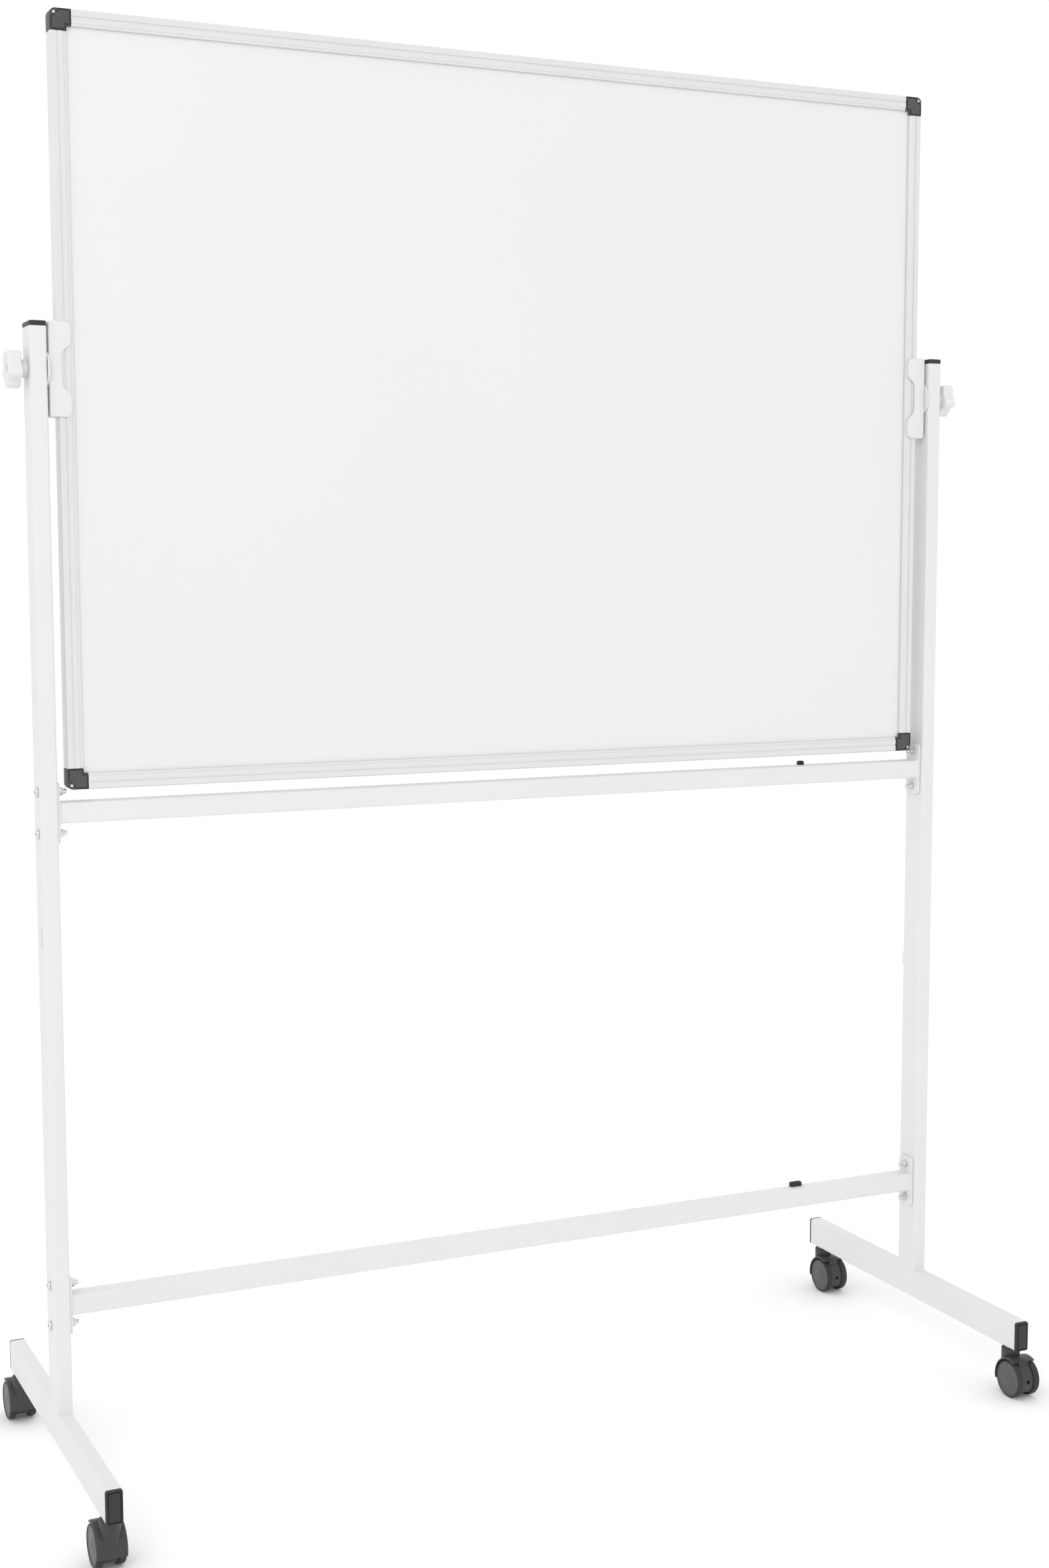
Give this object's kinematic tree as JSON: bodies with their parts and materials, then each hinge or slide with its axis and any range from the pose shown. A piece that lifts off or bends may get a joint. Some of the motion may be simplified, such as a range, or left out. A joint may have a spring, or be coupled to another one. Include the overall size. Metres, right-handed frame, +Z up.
{
  "type": "rolling whiteboard",
  "caption": "Double-sided white writing board in a metal frame, hung on side pivots with clamping knobs between two uprights on castored feet joined by crossbars.",
  "frame": {"origin": "on the floor, under the middle of the stand: the centre of the bottom of the bounding box", "axes": "+X to the right as seen from the front, along the board's width; +Y away from the viewer, along the feet; +Z up, along the uprights"},
  "size_m": [1.3166, 0.554, 1.763],
  "materials": {
    "coat": "fine satin powder coat",
    "frame_aluminium": "satin anodised",
    "writing_steel": "smooth gloss lacquer",
    "core_card": "raw",
    "corner_plastic": "fine grained",
    "cap_plastic": "fine grained",
    "light_plastic": "satin moulded",
    "screw_steel": "zinc plated",
    "pad_rubber": "matt",
    "caster_nylon": "satin moulded",
    "wheel_nylon": "satin moulded"
  },
  "bodies": {
    "stand": {"left_upright": "coat", "left_upright_cap": "cap_plastic", "left_foot": "coat", "left_front_foot_cap": "cap_plastic", "left_rear_foot_cap": "cap_plastic", "right_upright": "coat", "right_upright_cap": "cap_plastic", "right_foot": "coat", "right_front_foot_cap": "cap_plastic", "right_rear_foot_cap": "cap_plastic", "upper_crossbar": "coat", "lower_crossbar": "coat", "upper_left_bolt_a": "screw_steel", "upper_left_bolt_b": "screw_steel", "upper_right_bolt_a": "screw_steel", "upper_right_bolt_b": "screw_steel", "lower_left_bolt_a": "screw_steel", "lower_left_bolt_b": "screw_steel", "lower_right_bolt_a": "screw_steel", "lower_right_bolt_b": "screw_steel", "upper_bar_pad": "pad_rubber", "lower_bar_pad": "pad_rubber", "left_upright_plug": "light_plastic", "right_upright_plug": "light_plastic", "left_front_caster_stem": "screw_steel", "left_rear_caster_stem": "screw_steel", "right_front_caster_stem": "screw_steel", "right_rear_caster_stem": "screw_steel"},
    "board": {"frame_top": "frame_aluminium", "frame_bottom": "frame_aluminium", "frame_left": "frame_aluminium", "frame_right": "frame_aluminium", "corner_bottom_left": "corner_plastic", "corner_top_left": "corner_plastic", "corner_top_right": "corner_plastic", "corner_bottom_right": "corner_plastic", "board_front_sheet": "writing_steel", "board_core": "core_card", "board_back_sheet": "writing_steel", "pivot_clamp_left": "light_plastic", "pivot_bolt_left": "screw_steel", "pivot_spacer_left": "light_plastic", "pivot_clamp_right": "light_plastic", "pivot_bolt_right": "screw_steel", "pivot_spacer_right": "light_plastic"},
    "left_knob": {"clamp_knob_left": "light_plastic"},
    "right_knob": {"clamp_knob_right": "light_plastic"},
    "left_front_caster": {"left_front_caster_body": "caster_nylon"},
    "left_front_wheel_a": {"left_front_wheel_a": "wheel_nylon"},
    "left_front_wheel_b": {"left_front_wheel_b": "wheel_nylon"},
    "left_rear_caster": {"left_rear_caster_body": "caster_nylon"},
    "left_rear_wheel_a": {"left_rear_wheel_a": "wheel_nylon"},
    "left_rear_wheel_b": {"left_rear_wheel_b": "wheel_nylon"},
    "right_front_caster": {"right_front_caster_body": "caster_nylon"},
    "right_front_wheel_a": {"right_front_wheel_a": "wheel_nylon"},
    "right_front_wheel_b": {"right_front_wheel_b": "wheel_nylon"},
    "right_rear_caster": {"right_rear_caster_body": "caster_nylon"},
    "right_rear_wheel_a": {"right_rear_wheel_a": "wheel_nylon"},
    "right_rear_wheel_b": {"right_rear_wheel_b": "wheel_nylon"}
  },
  "joints": [
    {"name": "board_flip", "type": "hinge", "parent": "stand", "child": "board", "pos_m": [0, 0, 1.355], "axis": [1, 0, 0], "continuous": true},
    {"name": "left_knob_turn", "type": "hinge", "parent": "board", "child": "left_knob", "pos_m": [-0.644, 0, 1.355], "axis": [-1, 0, 0], "range_deg": [0, 720]},
    {"name": "right_knob_turn", "type": "hinge", "parent": "board", "child": "right_knob", "pos_m": [0.644, 0, 1.355], "axis": [1, 0, 0], "range_deg": [0, 720]},
    {"name": "left_front_swivel", "type": "hinge", "parent": "stand", "child": "left_front_caster", "pos_m": [-0.624, -0.235, 0.05], "axis": [0, 0, 1], "continuous": true},
    {"name": "left_front_roll_a", "type": "hinge", "parent": "left_front_caster", "child": "left_front_wheel_a", "pos_m": [-0.624, -0.218, 0.025], "axis": [1, 0, 0], "continuous": true},
    {"name": "left_front_roll_b", "type": "hinge", "parent": "left_front_caster", "child": "left_front_wheel_b", "pos_m": [-0.624, -0.218, 0.025], "axis": [1, 0, 0], "continuous": true},
    {"name": "left_rear_swivel", "type": "hinge", "parent": "stand", "child": "left_rear_caster", "pos_m": [-0.624, 0.235, 0.05], "axis": [0, 0, 1], "continuous": true},
    {"name": "left_rear_roll_a", "type": "hinge", "parent": "left_rear_caster", "child": "left_rear_wheel_a", "pos_m": [-0.624, 0.252, 0.025], "axis": [1, 0, 0], "continuous": true},
    {"name": "left_rear_roll_b", "type": "hinge", "parent": "left_rear_caster", "child": "left_rear_wheel_b", "pos_m": [-0.624, 0.252, 0.025], "axis": [1, 0, 0], "continuous": true},
    {"name": "right_front_swivel", "type": "hinge", "parent": "stand", "child": "right_front_caster", "pos_m": [0.624, -0.235, 0.05], "axis": [0, 0, 1], "continuous": true},
    {"name": "right_front_roll_a", "type": "hinge", "parent": "right_front_caster", "child": "right_front_wheel_a", "pos_m": [0.624, -0.252, 0.025], "axis": [1, 0, 0], "continuous": true},
    {"name": "right_front_roll_b", "type": "hinge", "parent": "right_front_caster", "child": "right_front_wheel_b", "pos_m": [0.624, -0.252, 0.025], "axis": [1, 0, 0], "continuous": true},
    {"name": "right_rear_swivel", "type": "hinge", "parent": "stand", "child": "right_rear_caster", "pos_m": [0.624, 0.235, 0.05], "axis": [0, 0, 1], "continuous": true},
    {"name": "right_rear_roll_a", "type": "hinge", "parent": "right_rear_caster", "child": "right_rear_wheel_a", "pos_m": [0.624, 0.218, 0.025], "axis": [1, 0, 0], "continuous": true},
    {"name": "right_rear_roll_b", "type": "hinge", "parent": "right_rear_caster", "child": "right_rear_wheel_b", "pos_m": [0.624, 0.218, 0.025], "axis": [1, 0, 0], "continuous": true}
  ]
}
